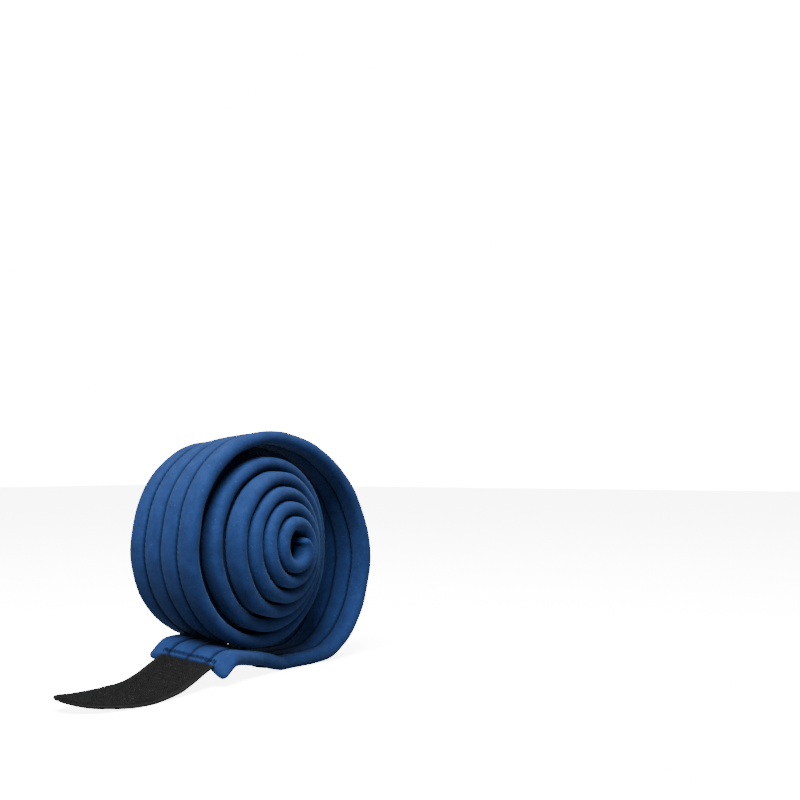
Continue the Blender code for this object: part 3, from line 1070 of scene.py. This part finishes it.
# %% [markdown]
# ## Weave
# The tape's backing is a plain weave. Two sine waves at right angles, one along the tape and one across,
# cross over and under like its threads. They are measured in metres on the tape itself, from its UV map, so
# the weave follows the tape when it bends.

# %% Group: weave
def build_weave():
    tree, into, out = start_group(
        "weave",
        [("Vector", VECTOR, None), ("Threads per Metre", FLOAT, 1800.0)],
        [("Height", FLOAT)],
    )
    axes = put(tree, "ShaderNodeSeparateXYZ", {"Vector": into.outputs["Vector"]})
    waves = []
    for axis in ("X", "Y"):
        turns = calculate(tree, "MULTIPLY", axes.outputs[axis], into.outputs["Threads per Metre"])
        waves.append(calculate(tree, "SINE", calculate(tree, "MULTIPLY", turns, math.pi)))
    crossed = calculate(tree, "MULTIPLY", *waves)
    tree.links.new(calculate(tree, "MULTIPLY_ADD", crossed, 0.5, 0.5), out.inputs["Height"])
    return tree


weave = build_weave()
print(weave.name, len(weave.nodes), "nodes")

# %% [markdown]
# ## Brushed blue cover
# The finish of nearly everything in view. The base is a deep, rough blue. Pile also catches light that
# grazes it, which is what the shader's sheen is for: it pales the cloth where it turns away. Sheen is the
# same all over the cloth, so it is set on the shader itself. Close to the sewn lines the colour is painted
# darker, as painted shade in the grooves.

# %% Finish: brushed blue cover
def start_finish(name):
    """A material with its shader, and the coordinates to lay patterns by."""
    look = bpy.data.materials.new(name)
    look.use_nodes = True
    tree = look.node_tree
    return look, tree, tree.nodes["Principled BSDF"], tree.nodes.new("ShaderNodeTexCoord")


def use_group(tree, group, inputs):
    """One use of a node group."""
    return put(tree, "ShaderNodeGroup", inputs, node_tree=group)


def use_nap(tree, place, deep, lit, patch_scale, tuft_scale):
    """The brushed nap between two colours."""
    colours = {"Deep": (*deep, 1), "Lit": (*lit, 1)}
    scales = {"Patch Scale": patch_scale, "Tuft Scale": tuft_scale}
    return use_group(tree, nap, {"Vector": place.outputs["Object"], **colours, **scales})


def use_lint(tree, place, colour, lint_colour, scale, size):
    """The colour with lint on it."""
    inputs = {"Color": colour, "Lint Color": (*lint_colour, 1), "Speck Scale": scale, "Speck Size": size}
    return use_group(tree, lint, {"Vector": place.outputs["Object"], **inputs}).outputs["Color"]


def raise_surface(tree, shader, height, distance, strength):
    """Bumps from a height."""
    bump = put(tree, "ShaderNodeBump", {"Height": height, "Distance": distance, "Strength": strength})
    tree.links.new(bump.outputs["Normal"], shader.inputs["Normal"])


def cover_finish():
    look, tree, shader, place = start_finish("brushed blue cover")
    pile = use_nap(tree, place, (0.0050, 0.0135, 0.050), (0.0088, 0.0225, 0.080), 110.0, 1300.0)
    specked = use_lint(tree, place, pile.outputs["Color"], (0.020, 0.048, 0.13), 420.0, 0.13)
    # Painted shade: close to the sewn lines the colour goes to a near-black blue, standing in for shade in
    # the grooves.
    painted_shade_mask = put(tree, "ShaderNodeAttribute", attribute_name="painted groove shade").outputs["Fac"]
    shaded = mix_colours(tree, painted_shade_mask, specked, (0.0012, 0.0045, 0.017, 1))
    tree.links.new(shaded, shader.inputs["Base Color"])
    tree.links.new(pile.outputs["Roughness"], shader.inputs["Roughness"])
    shader.inputs["Specular IOR Level"].default_value = 0.05
    shader.inputs["Sheen Weight"].default_value = 0.06
    shader.inputs["Sheen Roughness"].default_value = 0.45
    shader.inputs["Sheen Tint"].default_value = (0.45, 0.68, 1.0, 1)
    raise_surface(tree, shader, pile.outputs["Height"], 0.00035, 0.55)
    return look


def give(pieces, look):
    """Puts one finish on these pieces."""
    for piece in pieces:
        piece.data.materials.clear()
        piece.data.materials.append(look)
    print(look.name, "on", len(pieces), "pieces")


give(strap_pieces, cover_finish())

# %% [markdown]
# ## Navy thread
# Sewing thread is glossier than the pile, and far darker here. Fine noise stands for its twist.

# %% Finish: navy thread
def thread_finish():
    look, tree, shader, place = start_finish("navy thread")
    deep, lit = (0.0008, 0.0018, 0.0065), (0.0020, 0.0048, 0.0150)
    twist = use_nap(tree, place, deep, lit, 300.0, 5000.0)
    tree.links.new(twist.outputs["Color"], shader.inputs["Base Color"])
    shader.inputs["Roughness"].default_value = 0.6
    shader.inputs["Specular IOR Level"].default_value = 0.05
    raise_surface(tree, shader, twist.outputs["Height"], 0.0001, 0.5)
    return look


give(thread_pieces, thread_finish())

# %% [markdown]
# ## Black tape and its hooks
# The backing is dull woven nylon. The hooks are bare plastic thread, a little greyer, and each one has a
# small bright spot where it bends. Those spots make the field look speckled, so the hooks are glossier.

# %% Finishes: tape and hooks
def tape_finish():
    look, tree, shader, place = start_finish("black woven tape")
    threads = use_group(tree, weave, {"Vector": place.outputs["UV"], "Threads per Metre": 1700.0})
    deep, lit = (0.0022, 0.0022, 0.0023), (0.0070, 0.0070, 0.0071)
    fibres = use_nap(tree, place, deep, lit, 200.0, 2500.0)
    tree.links.new(fibres.outputs["Color"], shader.inputs["Base Color"])
    tree.links.new(fibres.outputs["Roughness"], shader.inputs["Roughness"])
    shader.inputs["Specular IOR Level"].default_value = 0.08
    raise_surface(tree, shader, threads.outputs["Height"], 0.0002, 0.8)
    return look


def hook_finish():
    look, tree, shader, place = start_finish("grey-black hooks")
    deep, lit = (0.0020, 0.0020, 0.0021), (0.0140, 0.0139, 0.0137)
    plastic = use_nap(tree, place, deep, lit, 350.0, 800.0)
    specked = use_lint(tree, place, plastic.outputs["Color"], (0.060, 0.060, 0.058), 650.0, 0.22)
    tree.links.new(specked, shader.inputs["Base Color"])
    shader.inputs["Roughness"].default_value = 0.45
    shader.inputs["Specular IOR Level"].default_value = 0.12
    return look


give(tape_pieces, tape_finish())
give(hook_pieces, hook_finish())
